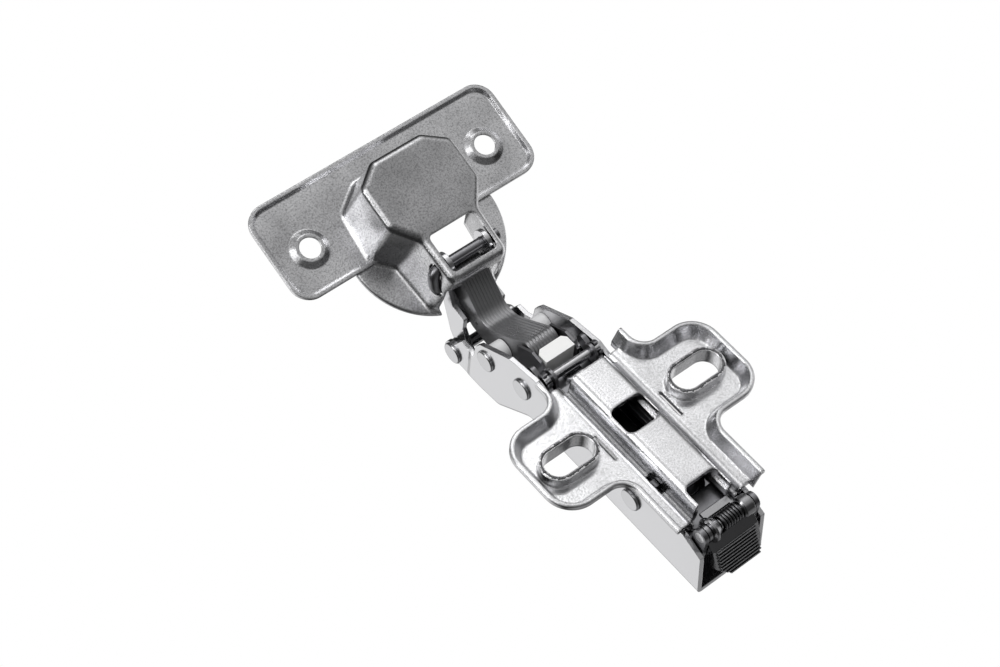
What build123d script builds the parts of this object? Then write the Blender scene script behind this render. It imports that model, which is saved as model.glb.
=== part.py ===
from build123d import *
from math import atan2, cos, degrees, hypot, radians, sin, sqrt, tan
import os

# A concealed cup hinge, standing open at 110 degrees on its cabinet side.
#
# World frame, mm: the origin lies on the cabinet panel, midway between the two screw slots of the
# mounting plate. +X leads out of the panel into the cabinet, +Y to the rear of the cabinet, and
# +Z up along the hinge pins. -Y is the front, where the door and the cup are.
# Door frame: u runs along the door away from the hinge side, n into the door, from the cup's
# centre on the door's face.

# ---------------------------------------------------------------- mounting plate (cabinet side)
slot_pitch = 32.0            # between the screw slots, along Z
slot_length = 11.0           # clear, along Z
slot_width = 5.8
slot_collar = 0.9            # wall of the drawn collar round each slot
slot_collar_gap = 0.4        # the collar stops this far short of the panel
plate_sheet = 1.2
plate_depth = 3.0            # from the panel to the floor of the wings
wing_half_y = 10.2
wing_half_z = 25.2
wing_corner = 6.0
wing_root = 3.5              # radius where a wing meets the body
body_half_z = 10.9
body_front_y = -16.0
body_rear_y = 24.6
ridge_y = (-14.1, 23.5)       # the ridge and its channels are shorter than the body's sides
ridge_end_half = 8.6         # |z| out to which they are
rim_width = 0.9              # flat rim that touches the panel
rim_round = 0.4              # of its outer edge
rim_draft = 26.0             # slope of the wall between rim and floor, degrees
crown_half = 4.4             # the middle ridge, which touches the panel too
crown_y = (-13.0, 22.5)
channel_depth = 5.0          # how far the channels beside the ridge go
channel_in = 4.9             # |z| where the ridge's wall meets the channel
channel_out = 5.6
channel_rise = 6.4           # |z| where the channel is back at the wings' floor
channel_root = 8.0           # |z| where the ridge's section joins the floor
front_window_y = (-2.8, 3.75)
rear_notch_y = 18.2
window_half_z = 4.0
window_floor = 2.8           # how far the windows cut down the ridge's walls
window_corner = 1.5
ridge_bend = 0.4             # inside radius of its folds
guide_slot_y = 12.6
guide_slot_length = 4.4
guide_slot_width = 1.5
side_slit_y = (-1.6, 5.0)
side_slit_z = 8.3
side_slit_width = 0.8

# ---------------------------------------------------------------- slide under the mounting plate
slide_sheet = 1.0
slide_gap = 0.2              # between the plate's channels and the slide
slide_half_z = 5.4
slide_y = (-15.0, 24.0)
slide_opening_y = (-7.5, 8.0)
guide_tab_length = 1.6
guide_tab_sheet = 0.9
guide_tab_rise = 0.6         # past the channel's face, towards the panel
cam_y = 15.0
cam_radius = 3.0
cam_offset = 1.25            # eccentricity, turned 60 degrees each way
cam_height = 1.3
cam_cap = 0.4                # its cap is this much larger
cam_slot = 1.0               # for a screwdriver
cam_room_wall = 1.5          # from the cam to the edge of the hole over it
cam_play = 0.1               # over and under the cam
stud_radius = 1.4
stud_head = 0.6              # its riveted head stands out and up by this
hook_pin_radius = 1.0
hook_pin_at = (5.2, -17.7)
hook_mouth = 3.0             # how far the hook is open in front of its pin
ear_sheet = 0.7
ear_wall = 0.9               # of the slide's ears round the hook pin
ear_rear_y = -14.3

# ---------------------------------------------------------------- clip bracket inside the arm
bracket_sheet = 1.0
bracket_room = 0.3           # between the bracket and the arm's walls
bracket_near_x = 7.7         # panel side of its web
bracket_depth = 5.0
bracket_y = (-19.4, 28.0)
bracket_hook_wall = 0.7      # of its hooks round the slide's pin
bracket_hook_rear = 4.5      # the hooks run this far behind the pin
bracket_slope = 8.0          # its walls slope down over this length at both ends
bracket_opening_y = (-7.5, 7.0)
bracket_lobe_at = (6.6, -21.4)
bracket_lobe_radius = 1.3
tilt_pivot = (10.4, 10.2)    # rivet on which the arm tilts to adjust the overlay
rivet_radius = 1.5
rivet_head_radius = 2.4
rivet_head_height = 0.6

# ---------------------------------------------------------------- arm
arm_sheet = 1.0
arm_half_z = 8.2
arm_far_x = 18.4             # outer face of the web behind the cabinet part
arm_rear_y = 30.25
arm_near_edge = ((7.4, 28.95), (5.3, 23.85), (5.0, 18.75), (6.0, -14.8), (5.0, -18.5), (6.4, -26.5),
                 (11.4, -35.1), (13.4, -36.4))
arm_nose_x = 25.8            # outer face of the web at the front
arm_crank_y = (-18.9, -28.2)
arm_web_front_y = -38.2
arm_crank_round = 3.0
arm_bend = 1.2               # outside radius of the folds along it
nose_near_x = 17.6
nose_radius = 2.7
nose_joggle_y = (-37.4, -38.6)
nose_joggle = 0.4            # the nose's walls stand this far inside the arm's

# ---------------------------------------------------------------- links and pins
outer_pivot = (23.7, -43.2)  # outer link on the arm
inner_pivot = (14.4, -32.9)  # inner link on the arm
bracket_pivot = (11.4, -22.0)
link_pin_radius = 1.25
pin_clearance = 0.06
outer_link_sheet = 1.0
outer_link_half_z = 5.4
outer_eye_radius = 2.7
flank_front = ((1.2, 2.5), (2.4, 3.35), (4.2, 3.65), (5.4, 2.9), (7.0, 3.1), (12.4, 3.25),
               (18.2, 3.25), (20.4, 2.6))
flank_back = ((20.4, -2.6), (15.4, -1.7), (12.6, -2.9), (10.5, 0.2), (6.6, 0.4), (6.1, 1.25), (5.6, 1.85),
              (4.73, 2.14), (3.85, 1.85), (3.1, 1.0), (1.4, 1.0))
web_along = (8.1, 18.2)      # the web runs this far from the cup eye, on the link's front edge
web_right = 3.25
slip_start = (0.5, -0.55)    # the eye on the arm is a long one, from here to slip_end
slip_end = (1.7, -1.95)
slip_radius = 1.6
slip_wall = 0.6
inner_link_plates = 9
inner_link_plate = 0.75
inner_eye_radius = 3.4
inner_cup_eye = 2.9
sleeve_radius = 2.4
link_shoulder = (15.6, -42.0)
link_elbow = (16.4, -37.0)
link_tail = (8.4, -26.8)
link_tail_radius = 2.2
link_rivet_radius = 0.6
link_hollow = 4.1            # radius of its hollow side
link_plate_edge = 0.11       # the punched plates have this much edge broken

# ---------------------------------------------------------------- cup (door side)
door_angle = 110.0
cup_center = (10.0, -62.7)
cup_bore = 35.0
flange_length = 62.0
flange_front_u = 22.2
flange_corner = 4.5
flange_sheet = 0.9
flange_step = 0.9            # the flange's floor stands this far off the door
flange_draft = 30.0          # slope between them, degrees
flange_rim = 0.8
lobe_round = 0.5
cup_root = 1.0               # radius where the cup's walls meet the flange
cup_depth = 12.5
cup_sheet = 0.9
cup_screw_pitch = 45.0
cup_screw_u = 9.5
cup_screw_hole = 4.6
cup_screw_cone = 7.6
cup_base = ((16.2, 6.5), (12.0, 12.5), (1.0, 13.5), (-2.6, 9.7), (-14.6, 8.7))
cup_floor = ((15.7, 6.2), (11.9, 11.4), (2.2, 11.4), (-3.4, 7.2), (-14.4, 7.0))
cup_floor_round = 1.6
cup_corner = 2.2
window_u = (-12.2, -3.2)
window_z = 5.7
leg_outer = (-9.4, 9.6)      # (u, n) of the pin leg that the outer link turns on
leg_inner = (-12.0, 5.6)     # (u, n) of the leg that the inner link turns on
axle_radius = 1.25
axle_bend = 1.5
bend_gap = 0.35              # round the bend, in the cup's wall
axle_tip = 8.3
axle_top = 9.3
rear_gate_half = 7.1
rear_gate_u = -12.75
rear_gate_n = 9.6
rear_gate_arch = 2.1         # rise of the arch over the gate's sides

# ---------------------------------------------------------------- damper, screws and lever
slider_half_z = 3.6
slider_y = (-24.0, -20.8)
slider_near_x = 5.0
slider_corner = 0.9
slider_head = 3.4            # length of its thick end along X
slider_step = 2.0            # how much thinner the rest is
slider_far_x = 15.4
rod_radius = 0.7
rod_z = 3.2
rod_x = 15.15
rod_reach = 6.0              # into the damper's body
piston_radius = 1.1
piston_length = 2.0
bore_play = 0.1
housing_wall = 1.2
housing_half_z = 5.4
housing_x = (13.4, 16.9)
housing_y = (-14.7, 6.5)
cheek_sheet = 0.6
guide_gap = 0.3              # between the slider and its guide
guide_near_edge = ((7.3, -28.6), (4.9, -24.2), (5.3, -21.6), (6.2, -20.4))
guide_front_y = -24.0
guide_foot_y = -27.2
guide_back_x = 16.2
guide_rear_y = -19.7
screw_radius = 2.0
screw_neck_radius = 1.2
screw_play = 0.1
screw_tip = 1.1              # collar under the clip bracket's web
screw_rise = 0.6             # past the arm's web
screw_slot = 3.0             # length of the cross in its end
overlay_screw_y = -17.0
axle_at = (3.8, 26.6)        # axle of the release lever
axle_ear_radius = 1.7
lever_axle_radius = 1.2
lever_sheet = 0.8
lever_side_gap = 0.2         # between the lever and the clip bracket
lever_ribs = 9
lever_rib_high = 0.5
lever_top = (6.8, 29.6)      # the ribbed face runs from here
lever_tip = (12.8, 32.6)
lever_shoulder = (5.3, 28.0)
# The face's cut corner starts at (along, z) and ends at (share of the length, z).
lever_near_cut = ((4.0, 5.7), (1.04, 2.4))
lever_far_cut = ((3.2, -5.7), (1.04, -4.3))
flare_z = (2.4, 4.0)         # the knuckle on one side flares between these
flare_radii = (1.5, 2.6)
head_radius = 2.15           # the knuckle on the other side is round
head_z = (3.1, 3.5)
lip_x = (3.9, 4.7)           # front lip of the lever, between the ridge's walls
lip_y = (22.65, 24.35)
lip_half_z = 3.3
spring_wire = 0.55           # spring on the lever's axle
spring_turns = 7
spring_gap = 0.15

# ---------------------------------------------------------------- springs on the arm's pin
closing_wire = 0.38
closing_radius = 2.3         # middle of the wire
closing_turns = 2

# ---------------------------------------------------------------- places that follow from these
slide_near_x = channel_depth + plate_sheet + slide_gap
slide_far_x = slide_near_x + slide_sheet
bracket_half_z = arm_half_z - arm_sheet - bracket_room
lever_half_z = bracket_half_z - bracket_sheet - lever_side_gap
flange_low = -flange_step

parts = {}


def save(name, shape):
    """Keep one named piece for export."""
    parts[name] = shape


def box(x0, x1, y0, y1, z0, z1):
    """A block between two corners."""
    corner = Pos((x0 + x1) / 2, (y0 + y1) / 2, (z0 + z1) / 2)
    return corner * Box(abs(x1 - x0), abs(y1 - y0), abs(z1 - z0))


def pin(center, radius, z0, z1):
    """A round bar along Z."""
    return Pos(center[0], center[1], (z0 + z1) / 2) * Cylinder(radius, abs(z1 - z0))


def stud(y, z, radius, x0, x1):
    """A round bar along X."""
    return Pos((x0 + x1) / 2, y, z) * Rot(0, 90, 0) * Cylinder(radius, abs(x1 - x0))


def shape_of(*points):
    """A flat outline from its corners, facing up whichever way round they are given."""
    area = 0.0
    for (x0, y0), (x1, y1) in zip(points, points[1:] + points[:1]):
        area += x0 * y1 - x1 * y0
    return Polygon(*(points if area > 0 else reversed(points)), align=None)


def plate_between(sketch, z0, z1):
    """A flat piece cut from sheet that lies square to Z."""
    return extrude(Pos(0, 0, z0) * sketch, z1 - z0)


def both_sides(shape):
    """A piece and its mirror image across the middle plane."""
    return [shape, mirror(shape, Plane.XY)]


def tapered_bar(p, p_radius, q, q_radius):
    """Outline of a bar with round ends of two sizes."""
    length = hypot(q[0] - p[0], q[1] - p[1])
    lean = (p_radius - q_radius) / length
    along = ((q[0] - p[0]) / length, (q[1] - p[1]) / length)
    across = (-along[1], along[0])
    rise = sqrt(1 - lean * lean)
    corners = []
    for center, radius, side in ((p, p_radius, 1), (q, q_radius, 1), (q, q_radius, -1), (p, p_radius, -1)):
        dx = lean * along[0] + side * rise * across[0]
        dy = lean * along[1] + side * rise * across[1]
        corners.append((center[0] + radius * dx, center[1] + radius * dy))
    body = shape_of(*corners)
    return body + Pos(*p) * Circle(p_radius) + Pos(*q) * Circle(q_radius)


def folded_strip(points, sheet, bend):
    """Section of folded sheet: points run along its left face, and bends are bend inside."""
    count = len(points)
    ways = []
    for start, end in zip(points, points[1:]):
        length = hypot(end[0] - start[0], end[1] - start[1])
        ways.append(((end[0] - start[0]) / length, (end[1] - start[1]) / length))
    right = []
    left_radii = []
    right_radii = []
    for index, point in enumerate(points):
        first = ways[max(index - 1, 0)]
        last = ways[min(index, count - 2)]
        turn = first[0] * last[1] - first[1] * last[0]
        half = 1 + first[0] * last[0] + first[1] * last[1]
        right.append((point[0] + sheet * (first[1] + last[1]) / half,
                      point[1] - sheet * (first[0] + last[0]) / half))
        if 0 < index < count - 1:
            left_radii.append(bend if turn > 0 else bend + sheet)
            right_radii.append(bend + sheet if turn > 0 else bend)
    near = FilletPolyline(*points, radius=left_radii)
    far = FilletPolyline(*right, radius=right_radii)
    return make_face([near, Line(points[-1], right[-1]), far, Line(right[0], points[0])])


# ================================================================ mounting plate
def cross_outline():
    """The plate's outline on the panel, longer than the plate at both open ends."""
    middle = (body_front_y + body_rear_y) / 2
    length = body_rear_y - body_front_y + 4 * wing_half_y
    body = Pos(middle, 0) * Rectangle(length, 2 * body_half_z)
    cross = Rectangle(2 * wing_half_y, 2 * wing_half_z) + body
    tips = [v for v in cross.vertices() if abs(abs(v.Y) - wing_half_z) < 0.01]
    cross = fillet(tips, wing_corner)
    roots = [v for v in cross.vertices() if abs(abs(v.X) - wing_half_y) < 0.01
             and abs(abs(v.Y) - body_half_z) < 0.01]
    return fillet(roots, wing_root)


def mounting_plate():
    """Cross of pressed sheet: a dished rim all round, a ridge along the middle, drawn slots."""
    outline = cross_outline()
    draft_run = plate_sheet * (1 / cos(radians(rim_draft)) - tan(radians(rim_draft)))
    dish = Plane.YZ * offset(outline, -rim_width)
    back = Plane.YZ * offset(outline, -rim_width + draft_run)
    rim = extrude(Plane.YZ * outline, plate_sheet)
    shell = rim + extrude(back, plate_depth + plate_sheet, taper=rim_draft)
    shell = shell - extrude(dish, plate_depth, taper=rim_draft)
    deep = channel_depth + plate_sheet + 1
    beyond = 4 * wing_half_y
    shell = shell - box(-1, deep, body_front_y - beyond, body_rear_y + beyond, -channel_root, channel_root)
    half = [(channel_root, plate_depth), (channel_rise, plate_depth), (channel_out, channel_depth),
            (channel_in, channel_depth), (crown_half, 0.0)]
    path = half + [(-z, x) for z, x in reversed(half)]
    ridge_face = Plane(origin=(0, body_front_y, 0), x_dir=(0, 0, 1), z_dir=(0, 1, 0))
    ridge = extrude(ridge_face * folded_strip(path, plate_sheet, ridge_bend), body_rear_y - body_front_y)
    shell = shell + ridge
    shell = shell - box(-1, deep, body_rear_y, body_rear_y + beyond, -beyond, beyond)
    shell = shell - box(-1, deep, body_front_y - beyond, body_front_y, -beyond, beyond)
    for y0, y1 in ((body_front_y - 1, ridge_y[0]), (ridge_y[1], body_rear_y + 1)):
        shell = shell - box(-1, deep + 1, y0, y1, -ridge_end_half, ridge_end_half)
    for y0, y1 in ((body_front_y - 1, crown_y[0]), (crown_y[1], body_rear_y + 1)):
        shell = shell - box(-1, deep + 1, y0, y1, -channel_in - 0.3, channel_in + 0.3)
    for y0, y1 in (front_window_y, (rear_notch_y, body_rear_y + 1)):
        opening = box(-1, window_floor, y0, y1, -window_half_z, window_half_z)
        shell = shell - fillet(opening.edges().filter_by(Axis.X), window_corner)
    for side in (1, -1):
        center = Pos(0, side * slot_pitch / 2)
        hole = center * Rot(0, 0, 90) * SlotOverall(slot_length, slot_width)
        collar = offset(hole, slot_collar)
        shell = shell + extrude(Plane.YZ.offset(slot_collar_gap) * collar, plate_depth)
        shell = shell - extrude(Plane.YZ.offset(-1) * hole, deep)
        guide_z = side * (channel_in + channel_out) / 2
        window = Pos(guide_slot_y, guide_z) * Rectangle(guide_slot_length, guide_slot_width)
        shell = shell - extrude(Plane.YZ.offset(channel_depth - 1.2) * window, 4)
        slit_length = side_slit_y[1] - side_slit_y[0]
        slit = Pos(sum(side_slit_y) / 2, side * side_slit_z) * SlotOverall(slit_length, side_slit_width)
        shell = shell - extrude(Plane.YZ.offset(plate_depth - 1) * slit, 4)
    edge = [e for e in shell.edges() if abs(e.bounding_box().max.X) < 0.01 and on_outer_edge(e @ 0.5)]
    return fillet(edge, rim_round)


def on_outer_edge(point):
    """Whether a point of the panel face is on the outer edge of the wings or of the body's sides."""
    y, z = abs(point.Y), abs(point.Z)
    on_wing = abs(y - wing_half_y) < 0.02 or abs(z - wing_half_z) < 0.02
    on_side = abs(z - body_half_z) < 0.02 and y > wing_half_y
    turn = hypot(y - wing_half_y - wing_root, z - body_half_z - wing_root)
    tip = hypot(y - wing_half_y + wing_corner, z - wing_half_z + wing_corner)
    in_tip = y > wing_half_y - wing_corner and z > wing_half_z - wing_corner
    return on_wing or on_side or abs(turn - wing_root) < 0.02 or in_tip and abs(tip - wing_corner) < 0.02


def cam_stud():
    """Stud welded under the ridge, on which the depth cam turns."""
    top = slide_far_x + cam_height + cam_play
    head = stud(cam_y, -cam_offset, stud_radius + stud_head, top, top + stud_head)
    return stud(cam_y, -cam_offset, stud_radius, plate_sheet, top) + head


# ================================================================ slide and depth cam
def slide_plate():
    """Flat slide under the channels, held by two tabs, with ears at the front for the hook pin."""
    strip = box(slide_near_x, slide_far_x, slide_y[0], slide_y[1], -slide_half_z, slide_half_z)
    strip = fillet(strip.edges().filter_by(Axis.X), 1.2)
    opening = box(slide_near_x - 1, slide_far_x + 1, *slide_opening_y, -slide_half_z + 2, slide_half_z - 2)
    strip = strip - fillet(opening.edges().filter_by(Axis.X), 1.0)
    yoke_half = cam_radius + cam_play
    yoke = box(slide_near_x - 1, slide_far_x + 1, cam_y - yoke_half, cam_y + yoke_half,
               -yoke_half - cam_offset, yoke_half)
    strip = strip - fillet(yoke.edges().filter_by(Axis.X), 0.4)
    tab_z = (channel_in + channel_out) / 2
    tab_half_y = guide_tab_length / 2
    tab_half_z = guide_tab_sheet / 2
    tab = box(channel_depth - guide_tab_rise, slide_near_x + slide_sheet / 2, guide_slot_y - tab_half_y,
              guide_slot_y + tab_half_y, tab_z - tab_half_z, tab_z + tab_half_z)
    foot = box(slide_near_x, slide_far_x, guide_slot_y - tab_half_y, guide_slot_y + tab_half_y,
               slide_half_z - tab_half_z, tab_z + tab_half_z)
    ear_profile = Pos(*hook_pin_at) * Circle(hook_pin_radius + ear_wall)
    ear_profile += shape_of((hook_pin_at[0] - 0.4, hook_pin_at[1] - hook_pin_radius - ear_wall + 0.05),
                           (slide_far_x, hook_pin_at[1] - hook_pin_radius - ear_wall / 2),
                           (slide_far_x, ear_rear_y),
                           (slide_near_x, ear_rear_y), (slide_near_x, hook_pin_at[1] + 2.1),
                           (hook_pin_at[0] - 1.0, hook_pin_at[1] + 1.6))
    ear_profile -= Pos(*hook_pin_at) * Circle(hook_pin_radius)
    ear = plate_between(ear_profile, slide_half_z - ear_sheet, slide_half_z)
    for piece in both_sides(tab) + both_sides(foot) + both_sides(ear):
        strip = strip + piece
    return strip


def hook_pin():
    """Cross pin riveted in the slide's ears; the clip bracket hooks on it."""
    return pin(hook_pin_at, hook_pin_radius, -bracket_half_z, bracket_half_z)


def depth_cam():
    """Round cam on the welded stud; it shifts the slide along the mounting plate."""
    cap_radius = cam_radius + cam_cap
    disc = stud(cam_y, 0, cam_radius, slide_near_x + cam_play / 2, slide_far_x)
    cap = stud(cam_y, -cam_offset, cap_radius, slide_far_x + cam_play, slide_far_x + cam_height)
    neck = stud(cam_y, 0, cam_radius - cam_play, slide_far_x - cam_play, slide_far_x + 2 * cam_play)
    cam = disc + neck + cap
    top = slide_far_x + cam_height
    cross = box(top - cam_height / 2, top + 1, cam_y - cam_slot / 2, cam_y + cam_slot / 2,
                -cam_offset - cap_radius - 1, -cam_offset + cap_radius + 1)
    return cam - stud(cam_y, -cam_offset, stud_radius + pin_clearance, 0, 2 * top) - cross


# ================================================================ clip bracket
def clip_bracket():
    """Channel inside the arm: hooks on the slide's pin in front and carries the lever behind."""
    y0, y1 = bracket_y
    near = bracket_near_x
    far = near + bracket_depth
    front = y0 + bracket_hook_wall
    hook_rear_y = hook_pin_at[1] + bracket_hook_rear
    side = shape_of((near, hook_rear_y), (near, y1), (near + 1.6, y1), (far - 1.5, y1 - 2),
                   (far, y1 - bracket_slope), (far, front + bracket_slope),
                   (near + 1.4, front + 0.2), (near, front))
    side += tapered_bar(axle_at, axle_ear_radius, (near + 1.8, axle_at[1] - 0.2), axle_ear_radius + 0.01)
    side += tapered_bar((near + 0.4, y0 + 1.6), bracket_lobe_radius + 0.2,
                        bracket_lobe_at, bracket_lobe_radius)
    web = box(near, near + bracket_sheet, front, y1 - bracket_sheet, -bracket_half_z, bracket_half_z)
    hook = Pos(*hook_pin_at) * Circle(hook_pin_radius + bracket_hook_wall)
    hook += shape_of((hook_pin_at[0], front), (near + 0.6, front), (near + 0.6, hook_rear_y),
                    (near - 0.4, hook_rear_y), (hook_pin_at[0] + 1.0, hook_pin_at[1] + 1.7))
    mouth_half = hook_pin_radius + pin_clearance
    mouth = Pos(*hook_pin_at) * Circle(mouth_half)
    mouth += shape_of((hook_pin_at[0] - hook_mouth, hook_pin_at[1] - 0.2),
                      (hook_pin_at[0], hook_pin_at[1] - 0.2),
                     (hook_pin_at[0], hook_pin_at[1] + mouth_half),
                     (hook_pin_at[0] - hook_mouth, hook_pin_at[1] + 2 * mouth_half))
    side = side + hook - mouth
    side -= Pos(*axle_at) * Circle(lever_axle_radius)
    side -= Pos(*tilt_pivot) * Circle(rivet_radius)
    wall = plate_between(side, bracket_half_z - bracket_sheet, bracket_half_z)
    bracket = web
    for piece in both_sides(wall):
        bracket = bracket + piece
    opening = box(near - 1, near + 2, *bracket_opening_y, -slide_half_z + 1.6, slide_half_z - 1.6)
    cam_room = stud(cam_y, -cam_offset, cam_radius + cam_room_wall, near - 1, near + 4)
    screw_neck = stud(overlay_screw_y, 0, screw_neck_radius + screw_play, near - 1, near + 2)
    return bracket - opening - cam_room - screw_neck


def headed_rivet(center, radius, head_radius, half):
    """Shank across both walls with a low domed head on each."""
    shank = pin(center, radius, -half, half)
    dome = Pos(center[0], center[1], half) * rivet_head(head_radius)
    for piece in both_sides(dome):
        shank = shank + piece
    return shank


def rivet_head(radius):
    """Low rivet head with a rounded rim, standing on the XY plane."""
    high = rivet_head_height
    profile = make_face([Line((0, 0), (radius, 0)), Line((radius, 0), (radius, high * 0.35)),
                         RadiusArc((radius, high * 0.35), (radius - high * 0.65, high), -high * 0.65),
                         Line((radius - high * 0.65, high), (0, high)), Line((0, high), (0, 0))])
    return revolve(Plane.XZ * profile, Axis.Z)


# ================================================================ arm
def nose_taper(inset):
    """Block as wide as the arm, or as its room, that steps in where the nose begins."""
    wide = arm_half_z - inset
    narrow = wide - nose_joggle
    back, front = nose_joggle_y
    half = [(front - 20, narrow), (front, narrow), (back, wide), (arm_rear_y + 10, wide)]
    outline = shape_of(*half, *[(y, -z) for y, z in reversed(half)])
    return extrude(Plane.YZ.offset(-30) * outline, 100)


def arm():
    """Cranked channel that carries the links: a web behind, two walls, a narrower nose in front."""
    rear = arm_rear_y
    crank_back, crank_front = arm_crank_y
    outline = shape_of(
        (arm_far_x, rear), *arm_near_edge,
        (nose_near_x, arm_near_edge[-1][1] - 0.4), (nose_near_x, outer_pivot[1] + 2),
        (outer_pivot[0] - nose_radius, outer_pivot[1]), (arm_nose_x, outer_pivot[1]),
        (arm_nose_x, crank_front - 6),
        (arm_nose_x - 0.6, crank_front), (arm_far_x, crank_back))
    soft = [v for v in outline.vertices() if abs(v.Y - crank_back) < 0.01 or abs(v.Y - crank_front) < 0.01]
    outline = fillet(soft, arm_crank_round)
    outline = outline + Pos(*outer_pivot) * Circle(nose_radius)
    channel = plate_between(outline, -arm_half_z, arm_half_z) & nose_taper(0)
    bends = [e for e in channel.edges() if abs(abs(e.center().Z) - arm_half_z) < 0.01
             and e.center().X > arm_far_x - 0.5 and arm_far_x - 0.1 < min(v.X for v in e.vertices())
             and e.center().Y > outer_pivot[1] + 2 and abs(e.center().Y - rear) > 0.1]
    channel = fillet(bends, arm_bend)
    inner = [(arm_far_x - arm_sheet, rear + 5), (arm_far_x - arm_sheet, crank_back + 0.45 * arm_sheet),
             (arm_nose_x - 0.6 - arm_sheet, crank_front + 0.45 * arm_sheet),
             (arm_nose_x - arm_sheet, crank_front - 6),
             (arm_nose_x - arm_sheet, -60), (-20, -60), (-20, rear + 5)]
    room = shape_of(*inner)
    bent = [v for v in room.vertices() if abs(v.Y - inner[1][1]) < 0.01 or abs(v.Y - inner[2][1]) < 0.01]
    room = fillet(bent, arm_crank_round - 0.6 * arm_sheet)
    channel = channel - (plate_between(room, -arm_half_z, arm_half_z) & nose_taper(arm_sheet))
    web_half = arm_half_z - arm_sheet - nose_joggle
    web_end = box(arm_nose_x - 4, arm_nose_x + 6, -60, arm_web_front_y, -web_half, web_half)
    channel = channel - web_end
    for center, radius in ((outer_pivot, link_pin_radius), (inner_pivot, link_pin_radius),
                           (bracket_pivot, link_pin_radius), (tilt_pivot, rivet_radius + pin_clearance)):
        channel = channel - pin(center, radius, -20, 20)
    channel = channel - stud(overlay_screw_y, 0, screw_radius + 0.3, arm_far_x - 4, arm_far_x + 4)
    channel = channel - stud(cam_y, -cam_offset, cam_radius - 0.2, arm_far_x - 4, arm_far_x + 4)
    return channel


# ================================================================ links
def link_place(along, right):
    """World X, Y of a point of the outer link: along from its cup eye to the arm, and to its right."""
    eye = door_point(leg_outer)
    length = hypot(outer_pivot[0] - eye[0], outer_pivot[1] - eye[1])
    way = ((outer_pivot[0] - eye[0]) / length, (outer_pivot[1] - eye[1]) / length)
    return (eye[0] + along * way[0] + right * way[1], eye[1] + along * way[1] - right * way[0])


def outer_link():
    """Folded link: two flanks that bow round the inner link's pin, joined by a web in front."""
    flank = shape_of(*[link_place(*corner) for corner in flank_front + flank_back])
    flank = fillet([v for v in flank.vertices() if abs(v.Y - link_place(*flank_back[0])[1]) > 1.0], 0.3)
    length = hypot(outer_pivot[0] - door_point(leg_outer)[0], outer_pivot[1] - door_point(leg_outer)[1])
    flank += Pos(*link_place(0, 0)) * Circle(outer_eye_radius)
    flank += tapered_bar(outer_pivot, outer_eye_radius,
                         link_place(length + slip_end[0], slip_end[1]), slip_radius + slip_wall)
    flank -= Pos(*link_place(0, 0)) * Circle(axle_radius + pin_clearance)
    flank -= Pos(*outer_pivot) * Circle(link_pin_radius + pin_clearance)
    flank -= tapered_bar(link_place(length + slip_start[0], slip_start[1]), slip_radius,
                         link_place(length + slip_end[0], slip_end[1]), slip_radius - 0.01)
    outer = outer_link_half_z
    web_left = web_right - outer_link_sheet
    corners = ((web_along[0], web_right), (web_along[1], web_right),
               (web_along[1], web_left), (web_along[0], web_left))
    web = shape_of(*[link_place(*corner) for corner in corners])
    link = plate_between(web, -outer, outer)
    for piece in both_sides(plate_between(flank, outer - outer_link_sheet, outer)):
        link = link + piece
    return link


def between(p, q, share):
    """A point on the way from p to q."""
    return (p[0] + (q[0] - p[0]) * share, p[1] + (q[1] - p[1]) * share)


def door_point(place):
    """World X, Y of a point given as (u, n) in the door frame."""
    u, n = place
    turn = radians(door_angle)
    return (cup_center[0] + u * cos(turn) - n * sin(turn), cup_center[1] - u * sin(turn) - n * cos(turn))


def inner_link_outline():
    """Outline of one plate of the laminated link, with its tail that pushes the damper."""
    cup_eye = door_point(leg_inner)
    shape = tapered_bar(cup_eye, inner_cup_eye, link_shoulder, 2.5)
    shape += tapered_bar(link_shoulder, 2.5, link_elbow, 2.8)
    shape += tapered_bar(link_elbow, 2.8, inner_pivot, inner_eye_radius)
    shape += tapered_bar(inner_pivot, inner_eye_radius, link_tail, link_tail_radius)
    hollow = [v for v in shape.vertices() if v.X < link_elbow[0] - 2
              and link_shoulder[1] < v.Y < inner_pivot[1] - inner_eye_radius]
    room = hypot(hollow[0].X - hollow[1].X, hollow[0].Y - hollow[1].Y)
    shape = fillet(hollow, min(link_hollow, 1.3 * room))
    shape -= Pos(*cup_eye) * Circle(axle_radius + pin_clearance)
    shape -= Pos(*link_shoulder) * Circle(link_rivet_radius)
    return shape - Pos(*inner_pivot) * Circle(link_pin_radius + pin_clearance)


def inner_link_plate_solid():
    """One punched plate with both its edges broken."""
    plate = plate_between(inner_link_outline(), 0, inner_link_plate)
    rims = [e for e in plate.edges() if e.length > 0.8 and abs(e.center().Z - inner_link_plate / 2) > 0.1
            and e.geom_type != GeomType.CIRCLE or e.geom_type == GeomType.CIRCLE and e.radius > 1.5]
    return chamfer(rims, link_plate_edge)


def inner_link_rivet():
    """Small rivet that holds the stack of plates together."""
    half = inner_link_plates * inner_link_plate / 2
    return pin(link_shoulder, link_rivet_radius, -half, half)


# ================================================================ cup
def door_side(shape):
    """Place a piece drawn with x = u, y = world Z and z = n into the open door's frame."""
    turn = radians(door_angle)
    frame = Plane(origin=(cup_center[0], cup_center[1], 0), x_dir=(cos(turn), -sin(turn), 0),
                  z_dir=(-sin(turn), -cos(turn), 0))
    return frame.location * shape


def cup_loop(half_points):
    """Closed outline of the cup from the points on its +Z half."""
    mirrored = [(u, -z) for u, z in reversed(half_points)]
    return shape_of(*half_points, *mirrored)


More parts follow.
